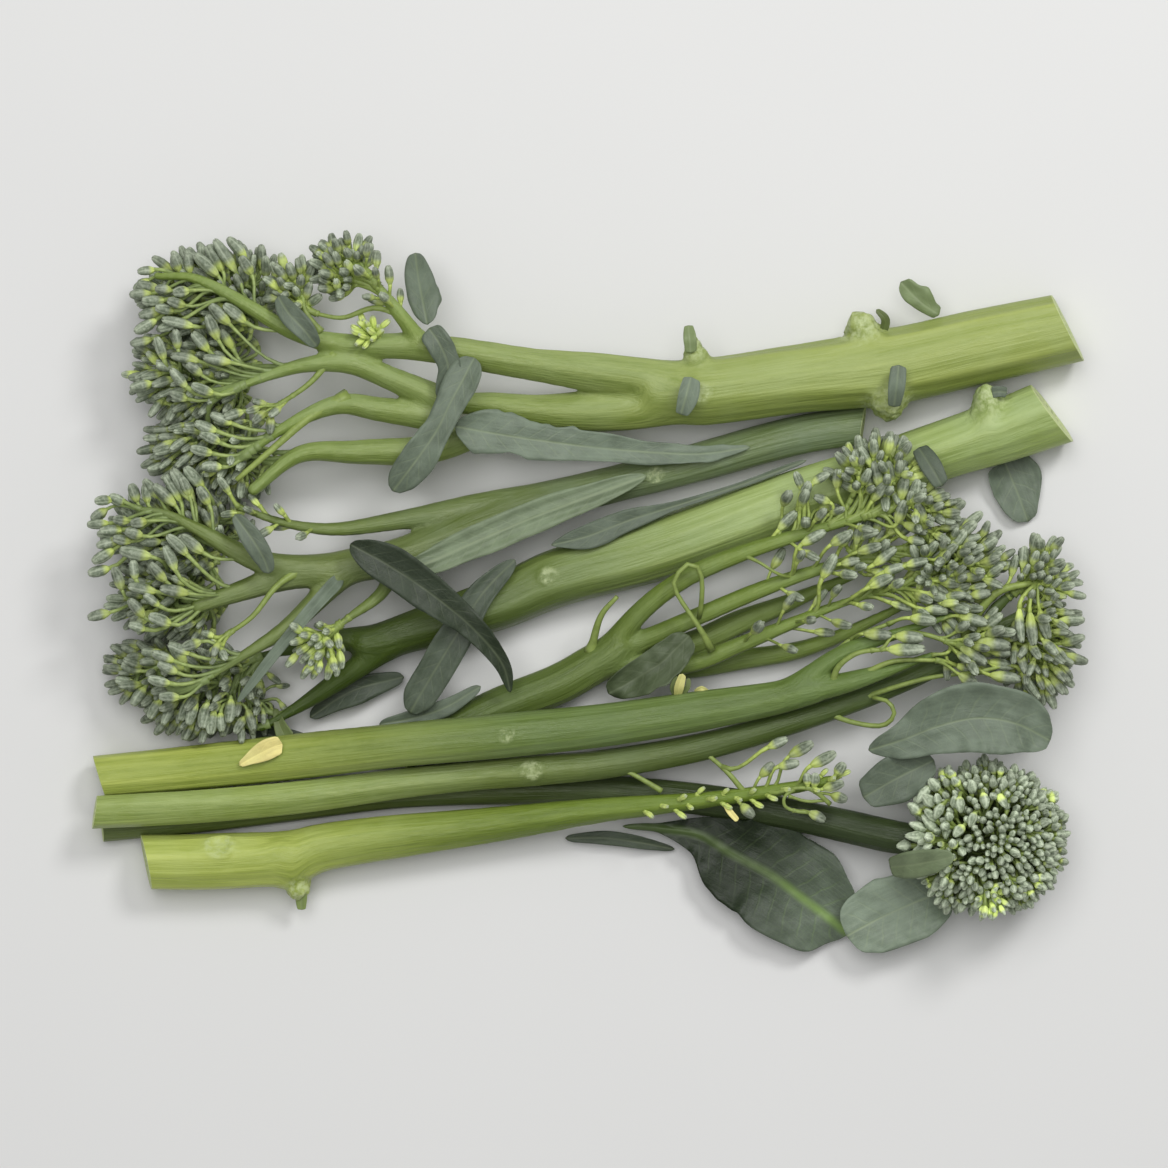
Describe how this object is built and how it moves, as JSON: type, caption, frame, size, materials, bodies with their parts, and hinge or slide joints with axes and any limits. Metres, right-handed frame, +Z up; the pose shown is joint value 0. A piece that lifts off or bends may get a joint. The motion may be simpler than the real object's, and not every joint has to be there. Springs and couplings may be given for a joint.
{
  "type": "baby broccoli bunch",
  "caption": "Bunch of fresh baby broccoli lying on its side, slim stalks laid both ways, forked limbs with loose heads of long buds, one dense head and small leaves.",
  "frame": {"origin": "on the surface that the bunch lies on, under the middle of its bounding box", "axes": "+X along the stalks, towards the cut ends of the thick stalks; +Y across the bunch, towards the thickest stalk; +Z up"},
  "size_m": [0.1914, 0.1374, 0.027],
  "materials": {
    "stem_light": "satin",
    "stem_mid": "satin",
    "stem_deep": "satin",
    "buds": "matte",
    "leaf_pale": "matte",
    "leaf_dark": "matte"
  },
  "bodies": {
    "root": {"stalk_1": "stem_light", "stalk_2": "stem_mid", "stalk_3": "stem_mid", "stalk_4": "stem_deep", "stalk_5": "stem_light", "stalk_6": "stem_mid", "stalk_7": "stem_mid", "stalk_8": "stem_light", "head_1": "buds", "head_2": "buds", "head_3": "buds", "head_6": "buds", "head_7": "buds", "leaf_01": "leaf_pale", "leaf_02": "leaf_pale", "leaf_03": "leaf_pale", "leaf_04": "leaf_pale", "leaf_05": "leaf_pale", "leaf_06": "leaf_pale", "leaf_07": "leaf_dark", "leaf_08": "leaf_pale", "leaf_09": "leaf_pale", "leaf_10": "leaf_dark", "leaf_11": "leaf_dark", "leaf_12": "leaf_pale", "leaf_13": "leaf_pale", "leaf_14": "leaf_pale", "leaf_15": "leaf_dark", "leaf_16": "leaf_pale", "leaf_17": "leaf_pale", "leaf_18": "leaf_dark", "leaf_19": "leaf_pale", "leaf_20": "leaf_pale", "leaf_21": "leaf_pale", "leaf_22": "leaf_pale", "leaf_23": "leaf_pale", "leaf_24": "leaf_pale", "leaf_25": "leaf_pale", "leaf_26": "leaf_pale", "leaf_27": "leaf_dark", "leaf_28": "leaf_pale"}
  },
  "joints": []
}
